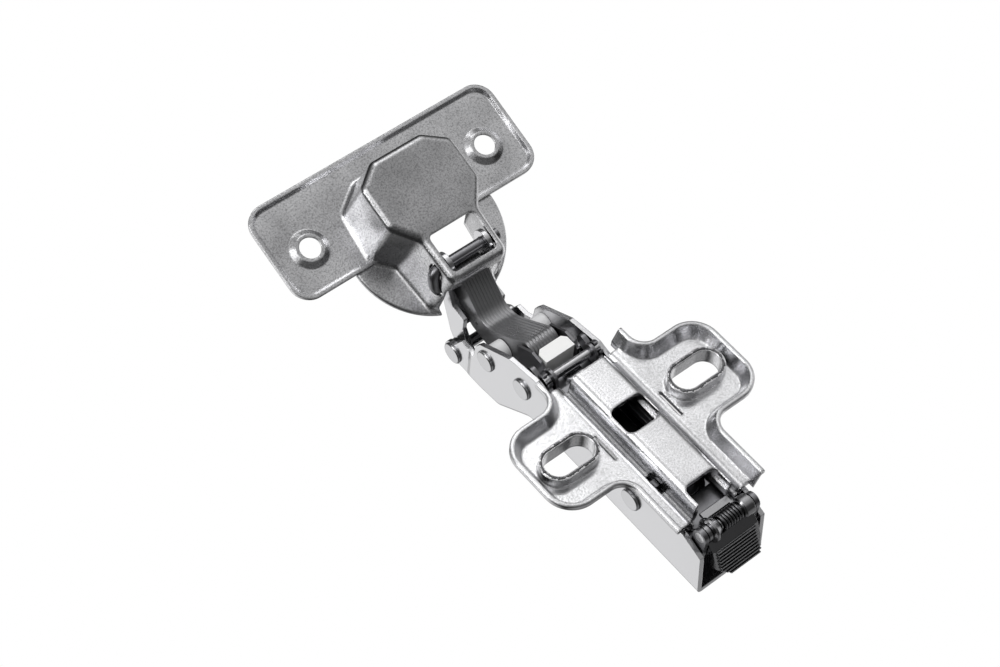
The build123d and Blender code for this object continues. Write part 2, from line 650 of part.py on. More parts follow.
def cup_form(grow, low, high, corner, floor_round):
    """Drafted solid between the flange and the cup's floor, grown by a wall where that is set."""
    corners = list(zip(cup_base, cup_floor))
    share = (high - flange_low) / (cup_depth - flange_low)
    top = tuple((b[0] + (f[0] - b[0]) * share, b[1] + (f[1] - b[1]) * share) for b, f in corners)
    share = (low - flange_low) / (cup_depth - flange_low)
    base = tuple((b[0] + (f[0] - b[0]) * share, b[1] + (f[1] - b[1]) * share) for b, f in corners)
    lower = offset(cup_loop(base), grow, kind=Kind.INTERSECTION) if grow else cup_loop(base)
    upper = offset(cup_loop(top), grow, kind=Kind.INTERSECTION) if grow else cup_loop(top)
    form = loft([Pos(0, 0, low) * lower, Pos(0, 0, high) * upper], ruled=True)
    uprights = [e for e in form.edges() if abs(e.center().Z - low) > 0.5 and abs(e.center().Z - high) > 0.5]
    form = fillet(uprights, corner)
    rim = [e for e in form.edges() if abs(e.center().Z - high) < 0.01]
    return fillet(rim, floor_round)


def is_foot(edge):
    """Whether an edge is where the cup's wall stands on the flange's floor or on the lobe."""
    level = all(abs((edge @ share).Z - flange_low) < 0.02 for share in (0, 0.5, 1))
    middle = edge @ 0.5
    beside = abs(middle.Y) < max(z for u, z in cup_base) + 0.1 and middle.X < cup_base[0][0] + 0.1
    clear = middle.X > flange_rim + 1.2 * flange_step or middle.X < -0.01
    return level and beside and clear and edge.geom_type != GeomType.CIRCLE


def hinge_cup():
    """Drawn cup with its flange: a dished T-shaped flange, a cup with cut corners, a rear gate."""
    half = flange_length / 2
    wings = Pos(flange_front_u / 2, 0) * Rectangle(flange_front_u, flange_length)
    wings = fillet(wings.vertices(), flange_corner)
    lobe = Circle(cup_bore / 2 - 0.1)
    floor_low = flange_low - flange_sheet
    rim = Pos(0, 0, -flange_sheet) * extrude(wings, flange_sheet)
    run = flange_step * tan(radians(flange_draft))
    sunk = offset(wings, -flange_rim - run)
    dish = Pos(0, 0, flange_low) * extrude(sunk, flange_step, taper=-flange_draft)
    under = offset(wings, -flange_rim - run + 0.5 * flange_sheet)
    tray = Pos(0, 0, floor_low) * extrude(under, flange_step, taper=-flange_draft)
    cup = rim + tray - dish
    disc = Pos(0, 0, floor_low) * extrude(lobe, flange_sheet)
    cup = cup + fillet(disc.edges().sort_by(Axis.Z)[-1], lobe_round)
    for side in (1, -1):
        place = Pos(cup_screw_u, side * cup_screw_pitch / 2, 0)
        outer = loft([Pos(0, 0, flange_low) * Circle(cup_screw_cone / 2 + flange_sheet / 2),
                      Pos(0, 0, -0.1) * Circle(cup_screw_hole / 2 + 0.8 * flange_sheet)])
        inner = loft([Pos(0, 0, floor_low - 0.1) * Circle(cup_screw_cone / 2 + 0.2),
                      Pos(0, 0, -flange_sheet / 2) * Circle(cup_screw_hole / 2)])
        throat = Pos(0, 0, -flange_sheet / 2) * Cylinder(cup_screw_hole / 2, 2 * flange_sheet)
        cup = cup + place * outer - place * inner - place * throat
    outer = cup_form(0, flange_low, cup_depth, cup_corner, cup_floor_round)
    cup = cup + outer
    foot = [e for e in cup.edges() if is_foot(e)]
    cup = fillet([e for e in foot if (e @ 0.5).X > 0], cup_root)
    cup = fillet([e for e in cup.edges() if is_foot(e) and (e @ 0.5).X < 0], cup_root)
    inner = cup_form(-cup_sheet, flange_low - 0.01, cup_depth - cup_sheet, cup_corner - cup_sheet,
                     cup_floor_round - 0.8 * cup_sheet)
    mouth_edge = offset(cup_loop(cup_base), -cup_sheet, kind=Kind.INTERSECTION)
    mouth = Pos(0, 0, floor_low - 1) * extrude(mouth_edge, flange_sheet + 1.02)
    cup = cup - inner - mouth
    window = Pos(sum(window_u) / 2, 0, cup_depth) * Box(window_u[1] - window_u[0], 2 * window_z, 6)
    cup = cup - fillet(window.edges().filter_by(Axis.Z), 1.2)
    gate_top = rear_gate_n - rear_gate_arch
    reach = rear_gate_u + cup_bore
    gate = Pos(rear_gate_u - reach / 2, 0, (gate_top + floor_low - 1) / 2) * Box(
        reach, 2 * rear_gate_half, gate_top - floor_low + 1)
    arch = extrude(Plane(origin=(rear_gate_u, 0, gate_top), x_dir=(0, 1, 0), z_dir=(-1, 0, 0))
                   * Ellipse(rear_gate_half, rear_gate_arch), reach)
    cup = cup - gate - arch
    for leg in (leg_outer, leg_inner):
        hole = Pos(leg[0], 0, leg[1]) * Rot(90, 0, 0) * Cylinder(axle_radius, cup_bore)
        cup = cup - hole
    return cup - bend_pocket()


def bend_pocket():
    """Oval room in the +Z wall for the bend of the hairpin axle."""
    middle = ((leg_outer[0] + leg_inner[0]) / 2, (leg_outer[1] + leg_inner[1]) / 2)
    pitch = hypot(leg_outer[0] - leg_inner[0], leg_outer[1] - leg_inner[1])
    lean = degrees(atan2(leg_outer[1] - leg_inner[1], leg_outer[0] - leg_inner[0]))
    oval = SlotCenterToCenter(pitch, 2 * (axle_radius + bend_gap))
    plane = Plane(origin=(middle[0], axle_tip - 2 * axle_radius, middle[1]),
                  x_dir=(cos(radians(lean)), 0, sin(radians(lean))),
                  z_dir=(0, 1, 0))
    return extrude(plane * oval, 8)


def hairpin_axle():
    """Round wire bent to a hairpin: one leg for each link."""
    outer = Vector(leg_outer[0], 0, leg_outer[1])
    inner = Vector(leg_inner[0], 0, leg_inner[1])
    across = (outer - inner).normalized()
    top = axle_top - axle_radius
    path = FilletPolyline(outer + Vector(0, -axle_tip, 0), outer + Vector(0, top, 0),
                          inner + Vector(0, top, 0), inner + Vector(0, -axle_tip, 0), radius=axle_bend)
    start = Plane(origin=path @ 0, z_dir=path % 0)
    return sweep(start * Circle(axle_radius), path)


# ================================================================ inside the arm
def damper_slider():
    """White block that the inner link's tail pushes back, with the two damper rods."""
    y0, y1 = slider_y
    profile = shape_of((slider_near_x, y0), (slider_near_x + slider_head, y0),
                      (slider_near_x + 2 * slider_head, y0 + slider_step),
                      (slider_far_x, y0 + slider_step + 0.3),
                      (slider_far_x, y1), (slider_near_x, y1))
    block = plate_between(profile, -slider_half_z, slider_half_z)
    half = slider_half_z
    cut = half - slider_corner
    octagon = shape_of((y0, cut), (y0 + slider_corner, half), (y1, half), (y1, -half),
                       (y0 + slider_corner, -half), (y0, -cut))
    return block & extrude(Plane.YZ * octagon, 2 * slider_far_x)


def damper_rods():
    """Two piston rods with their pistons, fixed in the slider."""
    rods = []
    for side in (1, -1):
        middle_y = housing_y[0] + rod_reach
        rod = bar_y(rod_x, side * rod_z, rod_radius, slider_y[1], middle_y)
        piston = bar_y(rod_x, side * rod_z, piston_radius,
                       middle_y - piston_length / 2, middle_y + piston_length / 2)
        rods.append(rod + piston)
    return rods


def bar_y(x, z, radius, y0, y1):
    """A round bar along Y."""
    return Pos(x, (y0 + y1) / 2, z) * Rot(90, 0, 0) * Cylinder(radius, abs(y1 - y0))


def damper_housing():
    """Black body with two bores, lying against the arm's web."""
    x0, x1 = housing_x
    y0, y1 = housing_y
    body = box(x0, x1, y0, y1, -housing_half_z, housing_half_z)
    body = fillet(body.edges().filter_by(Axis.Y), housing_wall)
    for side in (1, -1):
        body = body - bar_y(rod_x, side * rod_z, piston_radius + bore_play,
                            y0 + housing_wall, y1 - housing_wall)
        body = body - bar_y(rod_x, side * rod_z, rod_radius + bore_play, y0 - 1, y0 + housing_wall + 1)
    return body


def damper_cheeks():
    """Folded guide for the slider: two cheeks and a back, riveted to the arm's walls."""
    inside = slider_half_z + guide_gap
    outer_x = guide_back_x + cheek_sheet
    profile = shape_of(*guide_near_edge, (guide_near_edge[-1][0], guide_rear_y - 0.5),
                       (bracket_pivot[0], guide_rear_y - 0.5), (outer_x, guide_rear_y),
                       (outer_x, guide_front_y), (bracket_pivot[0] + 1.5, guide_foot_y))
    profile -= Pos(*bracket_pivot) * Circle(link_pin_radius)
    cheek = plate_between(profile, inside, inside + cheek_sheet)
    back = box(guide_back_x, outer_x, guide_front_y, guide_rear_y, -inside - 0.1, inside + 0.1)
    for piece in both_sides(cheek):
        back = back + piece
    return back


def side_rivets():
    """Short rivets that hold the slider's guide to the arm's walls."""
    inside = slider_half_z + guide_gap
    shank = pin(bracket_pivot, link_pin_radius, inside, arm_half_z)
    collar = pin(bracket_pivot, sleeve_radius, inside + cheek_sheet, arm_half_z - arm_sheet)
    head = Pos(bracket_pivot[0], bracket_pivot[1], arm_half_z) * rivet_head(rivet_head_radius)
    return both_sides(shank + collar + head)


def sleeves():
    """Spacers on the inner link's pin, between the link and the arm's walls."""
    stack = inner_link_plates * inner_link_plate / 2
    ring = pin(inner_pivot, sleeve_radius, stack + 0.15, arm_half_z - arm_sheet - 0.05)
    return both_sides(ring - pin(inner_pivot, link_pin_radius, 0, 20))


def overlay_screw():
    """Screw through the arm's web; its neck sits in the clip bracket."""
    tip_x = bracket_near_x
    play = screw_play / 2
    collar = stud(overlay_screw_y, 0, screw_radius, tip_x - screw_tip, tip_x - play)
    neck = stud(overlay_screw_y, 0, screw_neck_radius,
                tip_x - screw_play, tip_x + bracket_sheet + screw_play)
    body = stud(overlay_screw_y, 0, screw_radius, tip_x + bracket_sheet + play, arm_far_x + screw_rise)
    screw = collar + neck + body
    long = screw_slot / 2
    wide = screw_slot / 10
    slot_a = box(arm_far_x - screw_rise, arm_far_x + 1,
                 overlay_screw_y - long, overlay_screw_y + long, -wide, wide)
    slot_b = box(arm_far_x - screw_rise, arm_far_x + 1,
                 overlay_screw_y - wide, overlay_screw_y + wide, -long, long)
    return screw - slot_a - slot_b


# ================================================================ release lever
def lever_axle():
    """Round axle of the lever, riveted in the clip bracket's ears."""
    return pin(axle_at, lever_axle_radius, -bracket_half_z, bracket_half_z)


def lever_blank():
    """Folded sheet of the lever: a shoulder, then the thumb face with its ribs."""
    top, tip = lever_top, lever_tip
    half = lever_half_z
    outside, inside = lever_strip(0), lever_strip(lever_sheet)
    strip = make_face([Polyline(*outside), Polyline(outside[-1], inside[-1]),
                       Polyline(*inside), Polyline(inside[0], outside[0])])
    blank = plate_between(strip, -half, half)
    length = hypot(tip[0] - top[0], tip[1] - top[1])
    lean = degrees(atan2(tip[1] - top[1], tip[0] - top[0]))
    pitch = length / lever_ribs
    for count in range(lever_ribs):
        at = between(top, tip, (count + 0.6) / lever_ribs)
        section = shape_of((-0.3 * pitch, -0.1), (0.3 * pitch, -0.1),
                           (0.12 * pitch, lever_rib_high), (-0.12 * pitch, lever_rib_high))
        rib = Pos(*at) * Rot(0, 0, lean) * section
        blank = blank + plate_between(rib, -half + lever_sheet, half - lever_sheet)
    return blank


def lever_strip(inset):
    """Shoulder, top and tip of the lever's outer face, or of a line that far inside it."""
    way = []
    for start, end in ((lever_shoulder, lever_top), (lever_top, lever_tip)):
        length = hypot(end[0] - start[0], end[1] - start[1])
        way.append(((end[1] - start[1]) / length, -(end[0] - start[0]) / length))
    middle = (way[0][0] + way[1][0], way[0][1] + way[1][1])
    half = (middle[0] ** 2 + middle[1] ** 2) / 2
    return [(lever_shoulder[0] + inset * way[0][0], lever_shoulder[1] + inset * way[0][1]),
            (lever_top[0] + inset * middle[0] / half, lever_top[1] + inset * middle[1] / half),
            (lever_tip[0] + inset * way[1][0], lever_tip[1] + inset * way[1][1])]


def lever_knuckle(points):
    """Turned shape round the axle, from its (radius, z) outline."""
    return Pos(axle_at[0], axle_at[1], 0) * revolve(Plane.XZ * shape_of(*points), Axis.Z)


def release_lever():
    """Folded lever: a ribbed thumb face, two ears, knuckles round the axle and a lip in front."""
    top, tip = lever_top, lever_tip
    half = lever_half_z
    lever = lever_blank()
    side = Pos(*axle_at) * Circle(axle_ear_radius)
    low = lever_strip(lever_sheet / 2)
    side += shape_of((axle_at[0] + 1.2, axle_at[1] - 1.2), (tip[0] - 2.2, tip[1] - 2.8),
                     low[2], low[1], low[0],
                    (axle_at[0] - 1.0, axle_at[1] + 1.3))
    for piece in both_sides(plate_between(side, half - lever_sheet, half)):
        lever = lever + piece
    lean = degrees(atan2(tip[1] - top[1], tip[0] - top[0]))
    length = hypot(tip[0] - top[0], tip[1] - top[1])
    face = Pos(*top) * Rot(0, 0, lean) * Rot(90, 0, 0)
    for corner in (lever_near_cut, lever_far_cut):
        (along, z0), (beyond, z1) = corner
        side_z = 2 * z0 - z1
        cut = shape_of((along, z0), (length * beyond, z1), (3 * length, z1),
                       (3 * length, side_z), (along, side_z))
        lever = lever - face * extrude(cut, 8, both=True)
    low_z, high_z = flare_z
    inside = half - lever_sheet / 2
    bore = lever_axle_radius + pin_clearance
    lever = lever + lever_knuckle([(bore, low_z), (flare_radii[0], low_z), (flare_radii[1], high_z),
                                   (flare_radii[1], high_z + 0.5), (flare_radii[0], high_z + 0.8),
                                   (flare_radii[0], inside), (bore, inside)])
    lever = lever + lever_knuckle([(bore, -head_z[0]), (head_radius - 0.4, -head_z[0]),
                                   (head_radius, -head_z[1]),
                                   (head_radius, -inside), (bore, -inside)])
    lip = box(lip_x[0], lip_x[1], lip_y[0], lip_y[1], -lip_half_z, lip_half_z)
    lip = fillet(lip.edges().filter_by(Axis.Z).sort_by(Axis.Y)[0:2], 0.3)
    lever = lever + lip
    lever = lever + box(lip_x[0], lip_x[1], lip_y[1] - 0.1, axle_at[1] - 1.0, low_z + 0.3, lip_half_z)
    lever = lever + box(lip_x[0], lip_x[1], lip_y[1] - 0.1, axle_at[1] - 1.0,
                        -lip_half_z - 0.4, -lip_half_z + 0.1)
    lever = lever + box(lip_x[0], lip_x[1], lip_y[1] - 0.1, lip_y[1] + 0.3,
                        -lip_half_z - 0.4, -lip_half_z + 0.5)
    return lever - pin(axle_at, bore, -half - 1, half + 1)


def coil(center, radius, wire, turns, pitch, start_z):
    """Helical spring along Z, its wire's middle starting at start_z."""
    path = Helix(pitch=pitch, height=pitch * turns, radius=radius)
    start = Plane(origin=path @ 0, z_dir=path % 0)
    return Pos(center[0], center[1], start_z) * sweep(start * Circle(wire / 2), path)


def lever_spring():
    """Coil spring on the lever's axle, between its knuckles."""
    room = flare_z[0] + head_z[0] - 2 * spring_gap - spring_wire
    radius = lever_axle_radius + 0.1 + spring_wire / 2
    start = -head_z[0] + spring_gap + spring_wire / 2
    return coil(axle_at, radius, spring_wire, spring_turns, room / spring_turns, start)


def closing_springs():
    """Two coils on the outer link's pin, between the link's flanks and the arm's walls."""
    low = outer_link_half_z + 0.1 + closing_wire / 2
    high = arm_half_z - nose_joggle - arm_sheet - 0.06 - closing_wire / 2
    one = coil(outer_pivot, closing_radius, closing_wire, closing_turns, (high - low) / closing_turns, low)
    return both_sides(one)


save("mounting_plate", mounting_plate())
save("cam_stud", cam_stud())
save("depth_cam", depth_cam())
save("slide_plate", slide_plate())
save("hook_pin", hook_pin())
save("clip_bracket", clip_bracket())
save("tilt_rivet", headed_rivet(tilt_pivot, rivet_radius, rivet_head_radius, arm_half_z + 0.05))
save("lever_axle", lever_axle())
save("release_lever", release_lever())
save("lever_spring", lever_spring())
save("overlay_screw", overlay_screw())
save("arm", arm())
save("outer_link_pin",
     headed_rivet(outer_pivot, link_pin_radius, rivet_head_radius, arm_half_z - nose_joggle))
save("inner_link_pin", headed_rivet(inner_pivot, link_pin_radius, rivet_head_radius, arm_half_z))
save("side_rivets", side_rivets())
save("pin_sleeves", sleeves())
save("damper_guide", damper_cheeks())
save("damper_housing", damper_housing())
save("damper_slider", damper_slider())
save("damper_rods", damper_rods())
save("outer_link", outer_link())
save("closing_spring", closing_springs())
for index in range(inner_link_plates):
    low = (index - inner_link_plates / 2) * inner_link_plate
    save(f"inner_link_plate_{index + 1}", Pos(0, 0, low) * inner_link_plate_solid())
save("inner_link_rivet", inner_link_rivet())
save("hinge_cup", door_side(hinge_cup()))
save("hairpin_axle", door_side(hairpin_axle()))

os.makedirs("parts", exist_ok=True)
for name, shape in parts.items():
    pieces = shape if isinstance(shape, list) else [shape]
    solids = [solid for piece in pieces for solid in piece.solids()]
    export_step(Compound(children=list(solids)) if len(solids) > 1 else solids[0], f"parts/{name}.step")
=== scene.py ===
import bpy
import numpy as np
from mathutils import Matrix, Vector


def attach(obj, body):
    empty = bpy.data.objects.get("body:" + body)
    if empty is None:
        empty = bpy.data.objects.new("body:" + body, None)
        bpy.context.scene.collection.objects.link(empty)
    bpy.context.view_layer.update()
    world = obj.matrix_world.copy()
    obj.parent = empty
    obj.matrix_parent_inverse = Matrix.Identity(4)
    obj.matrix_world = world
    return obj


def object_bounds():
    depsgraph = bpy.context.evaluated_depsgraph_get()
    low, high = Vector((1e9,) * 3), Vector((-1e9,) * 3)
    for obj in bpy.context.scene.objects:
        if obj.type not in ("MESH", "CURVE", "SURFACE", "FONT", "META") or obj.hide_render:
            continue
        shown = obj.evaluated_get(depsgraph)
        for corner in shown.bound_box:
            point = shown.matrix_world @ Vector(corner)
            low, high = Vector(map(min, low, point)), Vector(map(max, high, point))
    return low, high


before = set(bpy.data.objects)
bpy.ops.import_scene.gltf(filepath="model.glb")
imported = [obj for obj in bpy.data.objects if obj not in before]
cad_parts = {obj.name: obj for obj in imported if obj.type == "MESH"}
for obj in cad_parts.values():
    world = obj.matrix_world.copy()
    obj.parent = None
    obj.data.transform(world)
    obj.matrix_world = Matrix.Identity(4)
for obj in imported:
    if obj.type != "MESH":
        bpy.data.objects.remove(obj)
cad_box = [list(corner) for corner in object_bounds()]

# ------------------------------------------------------------------ the studio
# The camera looks at the side of the hinge that is screwed to the cabinet and the door, from 0.44 m.
# Round it stands a plain white studio: a floor that shines evenly, four soft lights and eight pale
# cards. Between the cards its walls are nearly black, which gives the bright metal its contrast.
MM = 0.001
scene = bpy.context.scene
scene.view_settings.view_transform = "Standard"
camera_right = Vector((-0.05591, 0.63326, -0.77191))
camera_up = Vector((-0.57619, -0.65186, -0.49303))
camera_back = camera_right.cross(camera_up)
camera_place = Vector((-348.3, 149.2, 180.3)) * MM
camera = bpy.data.objects.new("camera", bpy.data.cameras.new("camera"))
camera.data.sensor_width = 36.0
camera.data.lens = 80.12
camera.data.clip_start = 10 * MM
camera.matrix_world = Matrix.Translation(camera_place) @ Matrix(
    (camera_right, camera_up, camera_back)).transposed().to_4x4()
scene.collection.objects.link(camera)
scene.camera = camera


def linear(code):
    """The linear colour of an sRGB hex code."""
    shares = [int(code[i:i + 2], 16) / 255 for i in (1, 3, 5)]
    return tuple(c / 12.92 if c <= 0.04045 else ((c + 0.055) / 1.055) ** 2.4 for c in shares) + (1.0,)


def add_node(tree, kind, settings=None, **inputs):
    """Add one shader node: its settings by name, and its inputs as values or as sockets to link."""
    node = tree.nodes.new("ShaderNode" + kind)
    for name, value in (settings or {}).items():
        setattr(node, name, value)
    for name, value in inputs.items():
        socket = node.inputs[int(name[1:])] if name[0] == "_" else node.inputs[name.replace("_", " ")]
        if isinstance(value, bpy.types.NodeSocket):
            tree.links.new(value, socket)
        else:
            socket.default_value = value
    return node


def blended(tree, share, first, second, how="MIX"):
    """The colour between two colours, at a share that is a value or a socket."""
    return add_node(tree, "Mix", {"data_type": "RGBA", "blend_type": how}, _0=share, _6=first,
                    _7=second).outputs[2]


def new_material(name):
    """An empty node material and its tree."""
    material = bpy.data.materials.new(name)
    material.use_nodes = True
    material.node_tree.nodes.clear()
    return material, material.node_tree


def finish_material(tree, shader):
    """Link a shader to the material's output."""
    output = add_node(tree, "OutputMaterial")
    tree.links.new(shader.outputs[0], output.inputs["Surface"])


def white_floor(height, reach):
    """A flat square at one height, that far each way, seen by the camera alone and clear from below."""
    mesh = bpy.data.meshes.new("studio_floor")
    mesh.from_pydata([(-reach, -reach, height), (reach, -reach, height), (reach, reach, height),
                      (-reach, reach, height)], [], [(0, 1, 2, 3)])
    floor = bpy.data.objects.new("studio_floor", mesh)
    scene.collection.objects.link(floor)
    floor.visible_diffuse = floor.visible_glossy = floor.visible_transmission = False
    floor.visible_volume_scatter = floor.visible_shadow = False
    paint, tree = new_material("white_floor_paint")
    below = add_node(tree, "NewGeometry").outputs["Backfacing"]
    glow = add_node(tree, "Emission", None, Color=linear("#FFFFFF"), Strength=1.0).outputs[0]
    clear = add_node(tree, "BsdfTransparent").outputs[0]
    finish_material(tree, add_node(tree, "MixShader", None, _0=below, _1=glow, _2=clear))
    mesh.materials.append(paint)


white_floor(height=cad_box[0][2] - 0.1 * MM, reach=3.0)

hinge_middle = Vector((12.0, -25.0, 0.0)) * MM
light_distance = 0.9


def camera_direction(way):
    """The world direction of a camera direction (right, up, back), one metre long."""
    return (way[0] * camera_right + way[1] * camera_up + way[2] * camera_back).normalized()


def soft_light(name, way, size, watts, mirrored=True):
    """A rectangular light in a camera direction (right, up, back) from the hinge, facing it.

    A light that isn't mirrored lightens the plastic parts and leaves no reflection in the metal.
    """
    lamp = bpy.data.lights.new(name, "AREA")
    lamp.shape = "RECTANGLE"
    lamp.size, lamp.size_y = size
    lamp.energy = watts
    holder = bpy.data.objects.new(name, lamp)
    scene.collection.objects.link(holder)
    outward = camera_direction(way)
    holder.visible_glossy = mirrored
    holder.location = hinge_middle + light_distance * outward
    holder.rotation_euler = (-outward).to_track_quat("-Z", "Y").to_euler()


soft_light("top_light", way=(-0.15, 0.95, 0.3), size=(0.5, 0.3), watts=0.8)
soft_light("left_light", way=(-0.8, 0.08, 0.6), size=(0.2, 0.55), watts=1.6)
soft_light("side_light", way=(-0.42, 0.26, 0.87), size=(0.36, 0.36), watts=0.45)
soft_light("fill_light", way=(0.0, 0.6, 0.8), size=(0.6, 0.6), watts=2.5, mirrored=False)

world = bpy.data.worlds.new("studio")
scene.world = world
world.use_nodes = True
room = world.node_tree
room.nodes.clear()
room_direction = add_node(room, "TexCoord").outputs["Generated"]
dark_wall = 0.03


def card(way, dark_from, *stops):
    """A card in a camera direction (right, up, back), fading into the dark wall round it.

    Each place on the ramp is the cosine of the angle to the card's middle: the wall is dark up to
    dark_from, and from there the stops (cosine, brightness) give the card's light.
    """
    middle = tuple(camera_direction(way))
    cosine = add_node(room, "VectorMath", {"operation": "DOT_PRODUCT"}, _0=room_direction, _1=middle)
    share = add_node(room, "MapRange", None, Value=cosine.outputs["Value"], From_Min=-1.0,
                     From_Max=1.0)
    ramp = add_node(room, "ValToRGB", None, Fac=share.outputs[0])
    ramp.color_ramp.interpolation = "EASE"
    ramp.color_ramp.elements.remove(ramp.color_ramp.elements[1])
    ramp.color_ramp.elements[0].position = (dark_from + 1) / 2
    ramp.color_ramp.elements[0].color = (dark_wall, dark_wall, dark_wall, 1.0)
    for place, brightness in stops:
        stop = ramp.color_ramp.elements.new((place + 1) / 2)
        stop.color = (brightness, brightness, brightness, 1.0)
    return ramp.outputs["Color"]


cards = (
    card((0.10, 0.93, 0.36), 0.62, (0.86, 0.30), (0.97, 0.84), (1.0, 0.9)),
    card((0.60, 0.70, 0.35), 0.80, (0.90, 0.24), (0.945, 0.50), (1.0, 0.55)),
    card((-0.25, 0.62, 0.74), 0.35, (0.70, 0.15), (0.79, 0.32), (0.86, 0.55), (0.91, 0.5)),
    card((-0.45, 0.25, 0.86), 0.82, (0.94, 0.85)),
    card((-0.70, -0.35, -0.62), 0.70, (0.90, 0.5), (0.975, 0.92)),
    card((0.65, 0.15, -0.75), 0.72, (0.90, 0.85), (1.0, 0.95)),
    card((0.50, -0.35, 0.80), 0.70, (0.92, 0.10)),
    card((0.55, -0.78, -0.28), 0.70, (0.92, 0.3)),
)
room_light = cards[0]
for other in cards[1:]:
    room_light = blended(room, 1.0, room_light, other, "LIGHTEN")
# Behind the hinge the room is pure white: the cards and the dark walls are only mirrored in it.
seen = add_node(room, "LightPath").outputs["Is Camera Ray"]
room_colour = blended(room, seen, room_light, linear("#FFFFFF"))
background = add_node(room, "Background", None, Color=room_colour)
room.links.new(background.outputs[0], add_node(room, "OutputWorld").inputs["Surface"])


# ------------------------------------------------------------------ mounting plate
# A cross of 1.2 mm cold-rolled steel, blanked, dished and drawn in one press tool and nickel-plated.
# Two screws through its slots hold it to the cabinet. Bright, finely pebbled, with painted shade
# darkening its folds.
def plated_steel(name, tint, roughness, grain=0.0, grain_mm=0.25, edge_mm=0.15, dull_spot=None,
                 metallic=1.0):
    """Nickel on pressed steel, as a metal of one tint under four layers: three of wear and one of
    painted shade.

    Clouds make it rougher in some patches and darker in others, a shallow wave bends what it
    mirrors, and pebbles, grain_mm wide, are drawn two or three times as coarse as they are to show.
    Edges are rounded over edge_mm, and creases are darkened with painted shade, from ambient occlusion.
    A dull spot is (centre, radius): it is a third darker there.
    """
    cloud_mm = 9.0
    wave_mm, wave_depth_mm = 3.5, 0.02
    pebble_depth_mm = 0.1
    crease_mm = 1.6
    material, tree = new_material(name)
    place = add_node(tree, "TexCoord").outputs["Object"]
    cloud = add_node(tree, "TexNoise", None, Vector=place, Scale=1 / (cloud_mm * MM),
                     Detail=3.0).outputs[0]
    sheen = add_node(tree, "MapRange", None, Value=cloud, From_Min=0.3, From_Max=0.7,
                     To_Min=roughness * 0.85, To_Max=roughness * 1.2).outputs[0]
    normal = add_node(tree, "Bevel", {"samples": 4}, Radius=edge_mm * MM).outputs[0]
    wave = add_node(tree, "TexNoise", None, Vector=place, Scale=1 / (wave_mm * MM),
                    Detail=2.0).outputs[0]
    normal = add_node(tree, "Bump", None, Height=wave, Strength=1.0, Distance=wave_depth_mm * MM,
                      Normal=normal).outputs[0]
    pebble = add_node(tree, "TexNoise", None, Vector=place, Scale=1 / (grain_mm * MM), Detail=4.0,
                      Roughness=0.75).outputs[0]
    normal = add_node(tree, "Bump", None, Height=pebble, Strength=0.3 * grain,
                      Distance=pebble_depth_mm * MM, Normal=normal).outputs[0]
    tone = linear(tint)
    dull = tuple(part * (1 - 0.8 * grain) for part in tone[:3]) + (1.0,)
    fleck = add_node(tree, "MapRange", None, Value=pebble, From_Min=0.32, From_Max=0.55).outputs[0]
    # Painted shade: ambient occlusion darkens the colour in creases and where parts meet.
    crease_shade = add_node(tree, "AmbientOcclusion", {"samples": 6},
                      Distance=crease_mm * MM).outputs["AO"]
    shade_free = add_node(tree, "MapRange", None, Value=crease_shade, From_Min=0.15, From_Max=0.6,
                     To_Min=0.1, To_Max=1.0).outputs[0]
    patch = add_node(tree, "MapRange", None, Value=cloud, From_Min=0.35, From_Max=0.65,
                     To_Min=1 - 0.35 * grain, To_Max=1.0).outputs[0]
    share = add_node(tree, "Math", {"operation": "MULTIPLY"}, _0=shade_free, _1=patch).outputs[0]
    if dull_spot:
        centre, radius = dull_spot
        away = add_node(tree, "VectorMath", {"operation": "DISTANCE"}, _0=place, _1=centre)
        faded = add_node(tree, "MapRange", None, Value=away.outputs["Value"], From_Min=0.85 * radius,
                         From_Max=radius, To_Min=0.68, To_Max=1.0).outputs[0]
        share = add_node(tree, "Math", {"operation": "MULTIPLY"}, _0=share, _1=faded).outputs[0]
    colour = blended(tree, share, (0.0, 0.0, 0.0, 1.0), blended(tree, fleck, dull, tone))
    finish_material(tree, add_node(tree, "BsdfPrincipled", None, Base_Color=colour, Metallic=metallic,
                                   Roughness=sheen, Normal=normal))
    return material


def dress(material, *names):
    """Give CAD nodes their finish."""
    for name in names:
        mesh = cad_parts[name].data
        mesh.materials.clear()
        mesh.materials.append(material)


dress(plated_steel("plate_nickel", "#EEEEF0", 0.2, grain=0.4, grain_mm=0.35, edge_mm=0.7),
      "mounting_plate")


